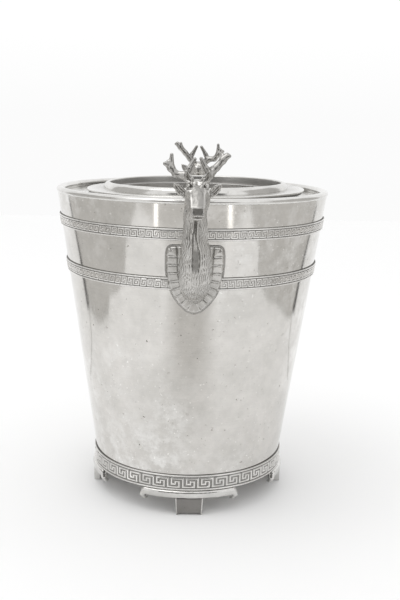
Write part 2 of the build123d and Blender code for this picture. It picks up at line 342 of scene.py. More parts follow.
def make_rim(materials):
    middle_z = (RIM_LOW.z + RIM_HIGH.z) / 2
    half_height = (RIM_HIGH.z - RIM_LOW.z) / 2
    unevenness = 0.12 * MM
    middle_r = RIM_HIGH.x - RIM_HALF_WIDTH - unevenness
    inner_r = middle_r - RIM_HALF_WIDTH
    corner = 0.3 * MM
    outline = arc(middle_r, middle_z, RIM_HALF_WIDTH, half_height, -90, 180, 32)
    outline += [(inner_r, RIM_LOW.z + corner), (inner_r + corner, RIM_LOW.z)]
    made = spun("rim", outline, materials["rim"], "bucket", "rim_moulding", unevenness)
    # painted shade in the seam where the roll meets the outside of the wall
    seam_top = RIM_LOW.z + 0.6 * MM
    x, y, z = read_vectors(made.data.vertices, "co").T
    set_recess(made, 0.9 * ((np.hypot(x, y) > middle_r) & (z < seam_top)))


def disc(name, node_name, material, body):
    """Round plate the size of its CAD node, with its edge slightly rounded."""
    low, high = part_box(node_name)
    radius = (high.x - low.x) / 2
    edge = 0.2 * MM
    hub = 0.5 * MM
    outline = [(hub, low.z), (radius - edge, low.z), (radius, low.z + edge)]
    outline += [(radius, high.z - edge), (radius - edge, high.z), (hub, high.z)]
    return spun(name, outline, material, body, node_name)


def make_inside(materials):
    """Bucket's floor, the ledge under the collar, and the liner."""
    disc("floor_plate", "bucket_floor", materials["wall"], "bucket")
    wall_r = wall_radius(SEAT_HIGH.z) - SHEET
    ledge = [(SEAT_BORE, SEAT_LOW.z), (wall_r - 0.2 * MM, SEAT_LOW.z)]
    ledge += [(wall_r, SEAT_HIGH.z), (SEAT_BORE, SEAT_HIGH.z)]
    spun("ledge", ledge, materials["rim"], "bucket", "collar_seat", 0.05 * MM)

    metal = materials["liner"]
    outer = (LINER_HIGH.x - LINER_LOW.x) / 2
    inner = outer - LINER_SHEET
    wall = [(outer, LINER_LOW.z), (outer, LINER_HIGH.z), (inner, LINER_HIGH.z), (inner, LINER_LOW.z)]
    placed = [spun("liner_tube", wall, metal, "liner", "liner_wall")]
    placed.append(disc("liner_base", "liner_floor", metal, "liner"))
    rim_r = (LINER_RIM_HIGH.x - LINER_RIM_LOW.x) / 2
    half = (rim_r - inner) / 2
    middle_z = (LINER_RIM_HIGH.z + LINER_RIM_LOW.z) / 2
    bead = arc(rim_r - half, middle_z, half, LINER_RIM_HIGH.z - middle_z, 0, 345, 23)
    placed.append(spun("liner_bead", bead, materials["liner_edge"], "liner", "liner_rim"))
    for obj in placed:
        shift_loose(obj)


def shift_loose(obj, lean=0.0):
    """Move a loose piece beside the bucket's axis, as it lies, and lean it up to the right."""
    left_edge = Vector((-COLLAR_RADIUS, 0, FLANGE_LOW.z))
    turn = Matrix.Translation(left_edge) @ Matrix.Rotation(-lean, 4, "Y") @ Matrix.Translation(-left_edge)
    obj.data.transform(Matrix.Translation((LOOSE_SHIFT, 0, 0)) @ turn)


def collar_shade(points):
    """Painted shade in the collar's bore and in the step under its edge."""
    radius = np.hypot(points[:, 0], points[:, 1])
    margin = 0.1 * MM
    in_bore = radius < COLLAR_BORE + 2 * margin
    in_step = radius > COLLAR_RADIUS - STEP_DEPTH - 2 * margin
    in_step &= points[:, 2] < FLANGE_LOW.z + FLANGE_STEP + margin
    return np.where(in_step, 1.0, 0.45 * in_bore)


def make_collar(materials):
    """Flange with a step under its edge, raised lip round the bore, and the skirt that centres them."""
    inner = COLLAR_BORE
    edge = COLLAR_RADIUS
    low, top = FLANGE_LOW.z, FLANGE_HIGH.z
    step_z = low + FLANGE_STEP
    corner = 0.7 * MM
    flange = [(inner, low), (edge - STEP_DEPTH, low), (edge - STEP_DEPTH, step_z)]
    flange += [(edge - 0.4 * MM, step_z)] + arc(edge - corner, top - corner, corner, corner, -20, 90, 6)
    flange += [(inner, top)]
    outer = (LIP_HIGH.x - LIP_LOW.x) / 2
    bead = 1.3 * MM
    sunk = 0.2 * MM
    lip = arc(inner + bead, top - sunk, outer - inner - bead, LIP_HIGH.z - top + sunk, 0, 90, 20)
    lip += arc(inner + bead, LIP_HIGH.z - bead, bead, bead, 100, 180, 8)
    lip += [(inner, top)]
    skirt_low, skirt_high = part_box("collar_skirt")
    skirt_r = (skirt_high.x - skirt_low.x) / 2
    skirt = [(skirt_r - SHEET, skirt_low.z), (skirt_r, skirt_low.z), (skirt_r, low), (skirt_r - SHEET, low)]
    for name, outline, node_name in (("collar_plate", flange, "collar_flange"),
                                     ("collar_ring", lip, "collar_lip"),
                                     ("collar_guide", skirt, "collar_skirt")):
        made = spun(name, outline, materials["rim"], "collar", node_name, 0.1 * MM)
        set_recess(made, collar_shade(read_vectors(made.data.vertices, "co")))
        shift_loose(made, COLLAR_LEAN)


# ---- Greek-key bands ----

def ridge_levels(bottom, tall):
    """Rounded border ridge: (height, no key row, level) from its lower edge to its upper one."""
    turns = [math.radians(angle) for angle in (-80, -40, 0, 40, 80)]
    return [(bottom + tall * (math.sin(turn) + 1) / 2, None, math.cos(turn)) for turn in turns]


def key_levels(low, high, ridge):
    """Heights up the band: (height, key row or None for a plain level, level from 0 sunk to 1 proud)."""
    strip_low = low + ridge
    strip_high = high - ridge
    gap = (strip_high - strip_low) * KEY_GAP
    step = (strip_high - strip_low - 2 * gap) / (len(KEY_UNIT) // 2 + KEY_LINE_SHARE)
    bevel = step * KEY_BEVEL
    foot = gap * 0.2
    levels = ridge_levels(low, ridge) + [(strip_low + foot, None, 0.0)]
    height = strip_low + gap
    for row in range(len(KEY_UNIT)):
        tall = step * (1 - KEY_LINE_SHARE if row % 2 else KEY_LINE_SHARE)
        levels += [(height + bevel, row, None), (height + tall - bevel, row, None)]
        height += tall
    return levels + [(strip_high - foot, None, 0.0)] + ridge_levels(strip_high, ridge)


def key_stations(units):
    """Places round the band: (angle, key column, unit)."""
    columns = len(KEY_UNIT[0])
    step = 4 * math.pi / (units * columns)
    edge = step * KEY_EDGE
    stations = []
    for unit in range(units):
        for column in range(columns):
            start = ((unit * columns + column) // 2 + column % 2 * KEY_LINE_SHARE) * step
            wide = step * (1 - KEY_LINE_SHARE if column % 2 else KEY_LINE_SHARE)
            stations += [(start + edge, column, unit), (start + wide - edge, column, unit)]
    return stations


def key_band(name, node_name, units, base_radius, material, ridge, depth, tarnish_and_shade, seed):
    """A band with two rounded border ridges and the raised key between them, worn unevenly.

    The argument after depth is how dark the sunk ground is, 0 to 1: tarnish with painted shade."""
    low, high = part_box(node_name)
    proud = high.x - base_radius(high.z)
    rows = KEY_UNIT[::-1]
    stations = key_stations(units)
    picker = random.Random(seed)
    wear = [picker.uniform(0.65, 1.0) for _ in range(units)]
    points, recess = [], []

    def put(turn, radius, height, dark):
        points.append((radius * math.cos(turn), radius * math.sin(turn), height))
        recess.append(dark)

    levels = key_levels(low.z, high.z, ridge)
    for height, row, level in levels:
        for turn, column, unit in stations:
            # Plain levels get painted shade where the ridges turn down to the ground and in the grooves
            # beside the key strip; the key's sunk ground gets tarnish with painted shade, darker the deeper
            # it sits.
            if row is None:
                raised, dark = level, 1 - level
            else:
                raised = wear[unit] if rows[row][column] == "#" else 0.0
                dark = tarnish_and_shade * (1 - raised)
            put(turn, base_radius(height) + proud - depth * (1 - raised), height, dark)
    # back of the band, against the wall, darkened fully as painted shade: the upper ring joins the last
    # one, the lower ring the first
    for height in (high.z, low.z):
        for turn, _, _ in stations:
            put(turn, base_radius(height), height, 1.0)
    faces = ring_faces(len(levels) + 2, len(stations))
    made = add_piece(name, points, faces, material, "bucket", node_name, sharp=50)
    set_recess(made, recess)


def make_bands(materials):
    band = materials["band"]
    for side, seed in (("upper", 3), ("lower", 5)):
        key_band("key_band_" + side, side + "_key_band", WALL_BAND_UNITS, wall_radius, band,
                 1.3 * MM, 0.7 * MM, 0.45, seed)
    base_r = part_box("base_key_band")[1].x - 1.3 * MM
    key_band("key_band_base", "base_key_band", BASE_BAND_UNITS, lambda height: base_r, band,
             1.6 * MM, 0.9 * MM, 0.75, 7)


# ---- sculpting in a distance field, in millimetres ----

class Field:
    """Distance field on a regular grid: below zero inside the metal. Shapes blend into it."""

    def __init__(self, low, high, cell):
        self.low = np.array(low, np.float32)
        self.cell = cell
        count = np.ceil((np.array(high) - np.array(low)) / cell).astype(int) + 1
        axes = [self.low[k] + cell * np.arange(count[k], dtype=np.float32) for k in range(3)]
        self.x, self.y, self.z = np.meshgrid(*axes, indexing="ij")
        self.value = np.full(self.x.shape, 50.0, np.float32)

    def add(self, shape, soft=0.0):
        self.value = soft_min(self.value, shape, soft)

    def cut(self, shape, soft=0.0):
        self.value = soft_cut(self.value, shape, soft)

    def grow(self, height):
        """Raise the surface by a height that may vary over the grid."""
        self.value = self.value - height

    def dent(self, shape, depth, soft):
        """Press the surface in by depth where shape is below zero."""
        self.grow(-depth * np.clip(0.5 - shape / soft, 0, 1))

    def offsets(self, centre, turn=None):
        """Each point's offset from a centre, along the rows of turn where it is given."""
        px, py, pz = self.x - centre[0], self.y - centre[1], self.z - centre[2]
        if turn is None:
            return px, py, pz
        return [row[0] * px + row[1] * py + row[2] * pz for row in turn]

    def ball(self, centre, radii, turn=None):
        """Oval ball; turn is a 3 by 3 matrix whose rows are the ball's own axes."""
        shares = [p / r for p, r in zip(self.offsets(centre, turn), radii)]
        near = np.sqrt(sum(share ** 2 for share in shares))
        slope = np.sqrt(sum((share / r) ** 2 for share, r in zip(shares, radii)))
        return near * (near - 1) / np.maximum(slope, 1e-6)

    def rod(self, start, end, start_r, end_r, wide=1.0):
        """Tapered round rod; wide stretches it along X."""
        bx, by, bz = [e - s for s, e in zip(start, end)]
        px, py, pz = self.offsets(start)
        px, bx = px / wide, bx / wide
        along = np.clip((px * bx + py * by + pz * bz) / (bx * bx + by * by + bz * bz), 0, 1)
        gap = np.sqrt((px - bx * along) ** 2 + (py - by * along) ** 2 + (pz - bz * along) ** 2)
        return gap - (start_r + (end_r - start_r) * along)

    def block(self, centre, half, turn, round_off):
        """Box with rounded edges, turned so that its own axes are turn's rows."""
        sides = [np.abs(p) - (h - round_off) for p, h in zip(self.offsets(centre, turn), half)]
        return rounded(sides, round_off)

    def ripple(self, seed, count, scale, squeeze=(1, 1, 1)):
        """Smooth random waves, about one unit high; squeeze below 1 draws them out along an axis."""
        picker = np.random.default_rng(seed)
        ways = picker.normal(size=(count, 3))
        starts = picker.uniform(0, 2 * math.pi, count)
        x, y, z = self.x * squeeze[0], self.y * squeeze[1], self.z * squeeze[2]
        total = 0
        for way, start in zip(ways, starts):
            total = total + np.sin((way[0] * x + way[1] * y + way[2] * z) / scale + start)
        return total / math.sqrt(count / 2) * 0.7

    def mesh(self):
        """Points in metres and faces of the surface."""
        grid = vdb.FloatGrid(10.0)
        grid.copyFromArray(np.ascontiguousarray(self.value))
        points, triangles, quads = grid.convertToPolygons(0.0, 0.0)
        points = (points * self.cell + self.low) * MM
        return points, [tuple(face) for face in triangles.tolist() + quads.tolist()]


def soft_min(first, second, soft):
    """Smaller of two fields, blended over a width."""
    if soft <= 0:
        return np.minimum(first, second)
    share = np.clip(0.5 + 0.5 * (second - first) / soft, 0, 1)
    return second + (first - second) * share - soft * share * (1 - share)


def soft_cut(shape, tool, soft):
    """Shape with the tool taken out of it."""
    return -soft_min(-shape, tool, soft)


def rounded(sides, round_off):
    """Box with rounded edges, from how far each point lies beyond its sides less the rounding."""
    outside = np.sqrt(sum(np.maximum(side, 0) ** 2 for side in sides))
    return outside + np.minimum(np.maximum.reduce(sides), 0) - round_off


def between(value, low, high, soft):
    """1 between low and high, falling to 0 over a soft edge at each."""
    rise = np.clip((value - low) / soft + 0.5, 0, 1)
    fall = np.clip((high - value) / soft + 0.5, 0, 1)
    return rise * rise * (3 - 2 * rise) * fall * fall * (3 - 2 * fall)


def wall_depth(field):
    """Distance in front of the tapered wall."""
    return np.hypot(field.x, field.y) - (WALL_TOP_R_MM - TAPER * (WALL_TOP_Z_MM - field.z))


def tilt(degrees, turn=0.0):
    """Rows: own axes of a thing tilted down about X, after a turn about Z, in degrees."""
    a, b = math.radians(degrees), math.radians(turn)
    own = np.array([[1, 0, 0], [0, math.cos(a), math.sin(a)], [0, -math.sin(a), math.cos(a)]])
    spin = np.array([[math.cos(b), math.sin(b), 0], [-math.sin(b), math.cos(b), 0], [0, 0, 1]])
    return own @ spin


# Neck sections from the chest's tip to the throat: height, depth of the middle, half width, half depth
NECK = [
    (174, -98.6, 2.4, 2.4),
    (179, -101.2, 6.6, 4.8),
    (185, -104.8, 9.8, 8.2),
    (194, -107.8, 11.6, 11.2),
    (206, -111.0, 11.9, 12.4),
    (216, -114.4, 10.8, 11.8),
    (226, -118.2, 8.7, 10.0),
    (236, -121.4, 7.8, 8.8),
    (246, -122.8, 7.9, 8.2),
    (258, -122.6, 7.4, 8.0),
]


def smooth_table(heights, table, column):
    """Value of a table's column at each height, eased between its rows."""
    rows = np.array(table, float)
    fine = np.linspace(rows[0, 0], rows[-1, 0], 200)
    value = np.interp(fine, rows[:, 0], rows[:, column])
    weights = np.hanning(31)
    padded = np.pad(value, 15, mode="edge")
    eased = np.convolve(padded, weights / weights.sum(), "valid")
    return np.interp(heights, fine, eased)


def neck_field(field):
    """Oval neck with long wavy locks of hair, a central groove and two bright ridges beside it."""
    middle, half_width, half_depth = [smooth_table(field.z, NECK, column) for column in (1, 2, 3)]
    lean = -1.1 * between(field.z, 222, 247, 12.0)
    px = (field.x - lean) / half_width
    py = (field.y - middle) / half_depth
    near = np.sqrt(px ** 2 + py ** 2)
    shape = (near - 1) * np.minimum(half_width, half_depth)
    shape = np.maximum(shape, NECK[0][0] - field.z)
    shape = np.maximum(shape, field.z - NECK[-1][0])

    angle = np.arctan2(px, -py)
    sway = field.ripple(11, 8, 7.0)
    drift = field.ripple(12, 10, 2.4)
    swell = field.ripple(13, 10, 3.4, (1, 1, 0.5))
    flow = angle * 22 + 1.9 * np.sin(field.z * 0.25 + 1.4 * sway) + 1.5 * sway + 1.1 * drift
    strands = 1 - 2 * np.abs(np.sin(flow))
    fine = np.sin(angle * 37 + 3.0 * np.sin(field.z * 0.33 + sway) + 2.6 * drift)
    fur = -0.27 * strands * (0.7 + 0.5 * swell) + 0.24 * fine * (0.8 - 0.5 * swell) + 0.30 * swell
    where = between(field.z, 171, 250, 6.0)

    # the groove starts thin under the jaw, opens on the breast and has a bright ridge on each side
    wander = field.x - lean - 0.5 * sway * between(field.z, 180, 232, 8.0)
    open_half = np.interp(field.z, [202, 208, 216, 225, 233, 243], [2.4, 3.0, 2.8, 1.7, 0.9, 0.5])
    side = np.abs(wander) - open_half
    groove = np.clip(0.5 - side / 1.1, 0, 1) * between(field.z, 203, 244, 8.0)
    ridge = np.exp(-((side - 0.8) / 0.7) ** 2) * between(field.z, 205, 240, 8.0)
    facing = (field.y < middle)
    shape = shape - where * fur * (1 - 0.6 * facing * (groove + ridge).clip(0, 1))
    shape = shape + facing * (1.0 * groove - 0.75 * ridge)
    ticks = 0.15 * np.sin(field.z * 1.35 + 1.0 * drift) * np.clip(0.5 - side, 0, 1)
    return shape - facing * ticks * between(field.z, 176, 214, 6.0)


def head_field(field):
    """Head turned outwards and a little down: skull, brow, eyes, muzzle, nose pad, jaw and ears."""
    field.add(field.ball((0, -120.2, 260.6), (7.4, 7.6, 7.2)), 3.0)
    field.add(field.rod((0, -123.5, 259.6), (0, -136.8, 247.2), 5.9, 3.9, 1.12), 3.0)
    field.add(field.rod((0, -125.0, 249.0), (0, -136.6, 243.4), 4.6, 2.8, 1.25), 2.5)
    field.add(field.ball((0, -138.3, 245.4), (4.9, 3.0, 4.2), tilt(14)), 1.5)
    for hand in (-1, 1):
        field.add(field.ball((hand * 4.9, -122.8, 254.2), (3.9, 6.6, 6.6), tilt(-20)), 2.5)
        field.add(field.ball((hand * 6.4, -126.6, 259.2), (2.3, 2.6, 1.7)), 1.4)
        field.add(field.rod((hand * 4.4, -127.4, 265.0), (hand * 7.6, -123.8, 266.4), 1.2, 1.2), 1.4)
    # rounded bridge of the nose, an edge on each side of it, and hollow cheeks
    field.add(field.rod((0, -127.8, 258.4), (0, -137.6, 249.0), 3.6, 3.0, 1.5), 2.4)
    for hand in (-1, 1):
        field.add(field.rod((hand * 5.2, -127.6, 260.6), (hand * 4.2, -139.2, 249.4), 0.7, 0.7), 1.2)
        field.cut(field.ball((hand * 7.6, -132.4, 252.2), (2.0, 4.6, 2.2), tilt(44)), 2.2)
    # eyes: socket, ball, lids
    for hand in (-1, 1):
        field.cut(field.ball((hand * 7.1, -127.8, 263.8), (2.6, 2.8, 2.2)), 1.0)
        field.add(field.ball((hand * 6.2, -125.8, 263.8), (1.7, 1.7, 1.4)), 0.1)
        field.add(field.rod((hand * 4.3, -127.4, 265.2), (hand * 8.0, -124.4, 266.0), 0.6, 0.5), 0.5)
        field.add(field.rod((hand * 4.4, -128.2, 262.2), (hand * 7.8, -125.4, 261.8), 0.45, 0.4), 0.5)
    # nose pad with two slanting nostrils, mouth line and the split of the lip
    field.add(field.block((0, -140.7, 247.0), (4.4, 1.0, 3.0), tilt(3), 0.7), 0.3)
    for hand in (-1, 1):
        nostril = field.ball((hand * 3.0, -141.7, 247.0), (0.8, 1.6, 1.3), tilt(0, hand * 15))
        field.dent(nostril, 0.8, 0.6)
    field.dent(field.block((0, -139.0, 243.0), (7.0, 6.5, 0.3), tilt(-6), 0.2), 0.9, 0.5)
    field.dent(field.block((0, -141.0, 244.0), (0.3, 1.6, 0.9), tilt(0), 0.2), 0.6, 0.4)
    # hollow of the forehead between the brows, and the coarser hair of the crown
    field.cut(field.ball((0, -129.6, 267.6), (3.0, 3.6, 5.0), tilt(45)), 2.4)
    field.grow(0.16 * field.ripple(21, 14, 0.75, (1, 1, 0.4)) * between(field.z, 256, 275, 10.0))
    for hand in (-1, 1):
        field.add(field.rod((hand * 4.6, -119.6, 264.0), (hand * 5.4, -119.0, 268.4), 2.5, 2.2), 1.2)
        field.add(field.ball((hand * 5.4, -119.0, 268.0), (2.9, 2.9, 0.8)), 0.3)
        ear(field, hand)


def ear(field, hand):
    """Pointed leaf-shaped ear held out sideways, hollow in front with hair lines."""
    root = np.array([hand * 7.0, -120.0, 254.8])
    tip = np.array([hand * 16.6, -121.6, 264.6])
    length = np.linalg.norm(tip - root)
    along = (tip - root) / length
    front = np.array([0.0, -1.0, 0.2])
    front = front - along * front.dot(along)
    front /= np.linalg.norm(front)
    across = np.cross(along, front)
    middle = root + along * length * 0.5
    u, v, w = field.offsets(middle, (along, front, across))

    def leaf(half_length, half_width, half_thick, forward):
        swing = (half_length ** 2 + half_width ** 2) / (2 * half_width)
        blade = np.sqrt(u ** 2 + (np.abs(w) + swing - half_width) ** 2) - swing
        return soft_cut(blade, half_thick - np.abs(v - forward), 0.8)

    body = leaf(length * 0.5, 3.0, 1.3, 0.0)
    hollow = leaf(length * 0.5 - 1.8, 1.7, 0.7, 1.3)
    body = soft_cut(body, hollow + 0.25 * np.sin(w * 4.4), 0.5)
    field.add(body, 0.5)
    field.add(field.rod(root, root + along * 3.0, 2.0, 1.6), 1.2)


# Millimetres the bust keeps off the wall, in the plaque and above it, and the ring it leaves free for the
# rim: radius, middle height and half height
PLAQUE_KEEP = 3.2
WALL_KEEP = 2.3
RIM_KEEP_R = 111.8
RIM_KEEP_Z = 249.6
RIM_KEEP_HALF = 3.6


def make_bust_mesh():
    """Neck and head in one casting."""
    field = Field((-18.5, -145.5, 167.0), (18.5, -100.0, 272.0), STAG_CELL)
    field.add(neck_field(field))
    head_field(field)
    # short hair on the face
    field.grow(0.07 * between(field.z, 243, 276, 5.0) * field.ripple(21, 14, 0.75))
    keep = np.where(field.z < PLAQUE_TOP, PLAQUE_KEEP, WALL_KEEP)
    field.cut(np.maximum(wall_depth(field) - keep, field.z - WALL_TOP_Z_MM))
    across = np.hypot(field.x, field.y) - RIM_KEEP_R
    field.cut(np.maximum(across, np.abs(field.z - RIM_KEEP_Z) - RIM_KEEP_HALF), 0.6)
    return field.mesh()


# ---- plaque ----

# Millimetres: a tab's length along the edge, how far the plaque's edge, the swell of its tabs and the seat
# of the bust stand off the wall, and the solder seam's width and height
TAB_LENGTH = 6.4
EDGE_LIFT = 1.1
TAB_SWELL = 1.6
SEAT_LIFT = 3.2
SEAM_WIDE = 1.0
SEAM_LIFT = 0.6


def shield_outline():
    """Closed outline of the plaque in the plane of the wall, from the top's middle round by the right."""
    right = [(0, 0), (12.2, 0), (18.4, -0.4), (20.4, -2.4), (21.0, -7), (21.0, -14), (20.6, -21),
             (19.0, -29), (15.8, -37), (11.2, -43.6), (5.6, -49), (0, -51)]
    whole = right + [(-x, z) for x, z in reversed(right[1:-1])]
    line = np.array(whole + whole[:1], float)
    steps = np.concatenate([[0], np.cumsum(np.hypot(*np.diff(line, axis=0).T))])
    fine = np.linspace(0, steps[-1], 721)[:-1]
    outline = np.stack([np.interp(fine, steps, line[:, k]) for k in (0, 1)], 1)
    weights = np.hanning(17)
    weights /= weights.sum()
    padded = np.concatenate([outline[-8:], outline, outline[:8]])
    outline = np.stack([np.convolve(padded[:, k], weights, "valid") for k in (0, 1)], 1)
    outline[:, 1] += PLAQUE_TOP
    return outline, steps[-1]


def make_plaque_mesh():
    field = Field((-22.5, -114.0, 166.0), (22.5, -97.0, 221.0), STAG_CELL)
    outline, round_length = shield_outline()
    flat_x = field.x[:, 0, :]
    flat_z = field.z[:, 0, :]
    gaps = np.hypot(flat_x[..., None] - outline[:, 0], flat_z[..., None] - outline[:, 1])
    nearest = gaps.argmin(-1)
    inset = gaps.min(-1)
    ahead = np.roll(outline, -1, 0) - outline
    away = np.stack([flat_x - outline[nearest, 0], flat_z - outline[nearest, 1]], -1)
    inside = ahead[nearest, 0] * away[..., 1] - ahead[nearest, 1] * away[..., 0] < 0
    inset = np.where(inside, inset, -inset)

    count = 2 * round(round_length / TAB_LENGTH / 2)
    place = nearest / len(outline) * count
    across = np.abs((place % 1.0) - 0.5) * 2
    groove = np.exp(-((1 - across) / 0.11) ** 2)
    pillow = 1 - 0.55 * across ** 4
    border = np.clip(inset / 8.0, 0, 1)
    lift = EDGE_LIFT + TAB_SWELL * np.sqrt(np.clip(inset / 1.6, 0, 1)) * pillow + 0.55 * border
    lift = lift - 0.25 * groove * np.clip((9.0 - inset) / 1.5, 0, 1)
    lift = lift - 0.5 * np.exp(-((inset - 8.6) / 0.55) ** 2)
    lift = np.where(inset > 9.2, SEAT_LIFT, lift)
    edge = inset - 0.15 * across ** 8
    depth = wall_depth(field)
    front = depth - lift[:, None, :] - 0.06 * field.ripple(31, 16, 1.6)
    field.add(soft_cut(front, edge[:, None, :], 0.9))
    field.add(np.maximum(-(inset[:, None, :] + SEAM_WIDE), depth - SEAM_LIFT), 0.4)
    field.value = np.maximum(field.value, 0.05 - depth)
    return field.mesh()


def plaque_seam_painted_shade(points):
    """Painted shade in the solder seam round the plaque, close to the wall."""
    x, y, z = points.T
    lift = (np.hypot(x, y) - wall_radius(z)) / MM
    return np.clip((1.5 * SEAM_LIFT - lift) / SEAM_LIFT, 0, 1)


# ---- antlers ----

# The beam and its tines, each from its root to its tip as (x, depth, height, radius). The stag's own left
# antler runs out and up; its right one runs level, then turns up to a crown.
LEFT_ANTLER = [
    [(5.3, -119, 266.5, 2.1), (8.8, -117.6, 270.6, 1.75), (13.0, -115.8, 275.6, 1.6),
     (17.4, -114.6, 280.6, 1.75), (20.3, -114.0, 284.3, 0.9)],
    [(18.4, -114.4, 282.0, 1.1), (21.9, -115.0, 283.6, 0.6)],
    [(17.2, -114.6, 280.0, 1.0), (17.0, -113.4, 284.4, 0.5)],
    [(8.2, -118.2, 269.8, 1.45), (6.2, -118.8, 274.6, 1.1), (2.2, -118.0, 281.6, 0.55)],
    [(6.6, -119.6, 268.6, 1.2), (8.0, -124.8, 273.0, 0.5)],
]
RIGHT_ANTLER = [
    [(-5.3, -119, 266.5, 2.1), (-9.6, -117.6, 270.0, 1.75), (-15.0, -116.2, 270.6, 1.6),
     (-18.4, -115.2, 274.8, 1.7), (-20.2, -115.0, 278.6, 1.0)],
    [(-18.2, -115.2, 274.4, 1.35), (-18.0, -114.6, 283.8, 0.5)],
    [(-19.2, -115.1, 276.0, 1.2), (-22.6, -115.4, 277.6, 0.7)],
    [(-8.2, -118.2, 269.4, 1.45), (-6.2, -118.8, 274.4, 1.1), (-2.2, -118.0, 281.2, 0.55)],
    [(-6.6, -119.6, 268.6, 1.2), (-8.0, -124.8, 273.0, 0.5)],
]
# Thickness added to each stretch where it starts and where it ends
START_SWELL = 0.95
END_SWELL = 0.75


def antler_mesh(branches, low, high, seed):
    """Antler with lengthwise furrows, within a box."""
    field = Field(low, high, STAG_CELL * 0.75)
    for branch in branches:
        for start, end in zip(branch, branch[1:]):
            field.add(field.rod(start[:3], end[:3], start[3] + START_SWELL, end[3] + END_SWELL), 1.2)
    field.grow(0.06 * field.ripple(seed, 12, 0.8, (1, 0.7, 0.45)))
    return field.mesh()


# ---- recess mask ----

def cavity(mesh, rounds=14, full=0.16):
    """0 to 1: how far each point lies below the surface's local mean, in units of full millimetres."""
    count = len(mesh.vertices)
    points = read_vectors(mesh.vertices, "co")
    normals = read_vectors(mesh.vertices, "normal")
    edges = np.empty(len(mesh.edges) * 2, int)
    mesh.edges.foreach_get("vertices", edges)
    first, second = edges.reshape(-1, 2).T
    friends = np.bincount(first, minlength=count) + np.bincount(second, minlength=count)

    def spread(values):
        total = np.zeros_like(values)
        for k in range(values.shape[1]):
            for here, there in ((first, second), (second, first)):
                total[:, k] += np.bincount(here, values[there, k], count)
        return 0.5 * values + 0.5 * total / np.maximum(friends, 1)[:, None]

    mean = points
    for _ in range(rounds):
        mean = spread(mean)
    below = ((mean - points) * normals).sum(1) / (full * MM)
    below = spread(spread(below[:, None]))[:, 0]
    return np.clip(below, 0, 1)


# ---- feet ----

# Millimetres: the curved bar under the wall, its curled ends, and the leg under its middle
BAR_MIDDLE_R = 78.2
BAR_HALF_DEPTH = 3.3
BAR_MIDDLE_Z = 17.2
BAR_HALF_HEIGHT = 3.2
BAR_HALF_TURN = 26.6
BAR_ROUND = 2.0
# Middle line of a curled end: radius, height and turn in degrees, with its thickness at each point
BAR_CURL = [(78.6, 17.2, 26.9), (79.2, 13.8, 27.8), (77.6, 11.0, 27.4), (75.2, 10.2, 26.6)]
CURL_RADII = [2.4, 2.0, 1.5, 1.0]
LEG_TOP_HALF = 11.1
LEG_FOOT_HALF = 10.3
LEG_MIDDLE_R = 77.6
LEG_HALF_DEPTH = 2.7
LEG_FOOT_Z = 0.1
LEG_TOP_Z = 14.5
LEG_ROUND = 0.6


def make_bar_mesh():
    """Rounded bar bent round the bucket, with both ends rolled down and in."""
    field = Field((-45, -86, 7.5), (45, -62, 22), FOOT_CELL)
    radius = np.hypot(field.x, field.y)
    turn = np.arctan2(field.x, -field.y)
    past_end = (np.abs(turn) - math.radians(BAR_HALF_TURN)) * BAR_MIDDLE_R
    across = np.abs(radius - BAR_MIDDLE_R) - BAR_HALF_DEPTH + BAR_ROUND
    upright = np.abs(field.z - BAR_MIDDLE_Z) - BAR_HALF_HEIGHT + BAR_ROUND
    field.add(rounded([across, upright, past_end], BAR_ROUND))
    for hand in (-1, 1):
        places = []
        for curl_r, height, angle in BAR_CURL:
            way = math.radians(angle)
            places.append((hand * curl_r * math.sin(way), -curl_r * math.cos(way), height))
        for start, end, start_r, end_r in zip(places, places[1:], CURL_RADII, CURL_RADII[1:]):
            field.add(field.rod(start, end, start_r, end_r), 1.2)
    field.grow(0.07 * field.ripple(51, 12, 2.2))
    return field.mesh()


def leg_half_width(height):
    return LEG_FOOT_HALF + (LEG_TOP_HALF - LEG_FOOT_HALF) * height / LEG_TOP_Z


def make_leg_mesh():
    """Broad flat leg, a little narrower at the floor, with a raised edge down each side."""
    field = Field((-12.4, -82, -1), (12.4, -73, 16.5), FOOT_CELL * 0.7)
    half = leg_half_width(field.z)
    side = np.abs(field.x) - half + LEG_ROUND
    depth = np.abs(field.y + LEG_MIDDLE_R) - LEG_HALF_DEPTH + LEG_ROUND
    upright = np.abs(field.z - (LEG_TOP_Z + LEG_FOOT_Z) / 2) - (LEG_TOP_Z - LEG_FOOT_Z) / 2 + LEG_ROUND
    field.add(rounded([side, depth, upright], LEG_ROUND))
    inset = half - np.abs(field.x)
    hollow = 0.95 * np.clip((inset - 0.9) / 1.0, 0, 1) * (field.y < -LEG_MIDDLE_R)
    field.grow(0.05 * field.ripple(53, 12, 1.8) - hollow)
    return field.mesh()


# ---- castings made once and set round the bucket ----

def set_round(name, made, turns, material, dark=1.0, patch=None):
    """Put one sculpted mesh at each turn; each copy stands for the CAD node of the same name.

    dark scales the tarnish and painted shade in the hollows; patch gives further painted shade, 0 to 1, at
    each point."""
    points, faces = made
    for side, degrees in turns.items():
        node_name = name + "_" + side
        turned = points @ tilt(0, degrees)
        obj = add_piece(node_name + "_cast", turned, faces, material, "bucket", node_name, sharp=60)
        # Tarnish and painted shade in the hollows, with any patch of painted shade on top.
        tarnish_and_shade = dark * cavity(obj.data)
        if patch:
            tarnish_and_shade = np.maximum(tarnish_and_shade, patch(points))
        set_recess(obj, tarnish_and_shade)


def leg_painted_shade(points):
    """Painted shade on the leg's face, inside its rounded side edges."""
    x, _, z = points.T / MM
    return 0.75 * np.clip((leg_half_width(z) - np.abs(x) - 0.7) / 0.5, 0, 1)


def stripe(x, left, right, soft=0.8):
    """1 between two places across the face, falling to 0 at each."""
    return np.clip((x - left) / soft, 0, 1) * np.clip((right - x) / soft, 0, 1)


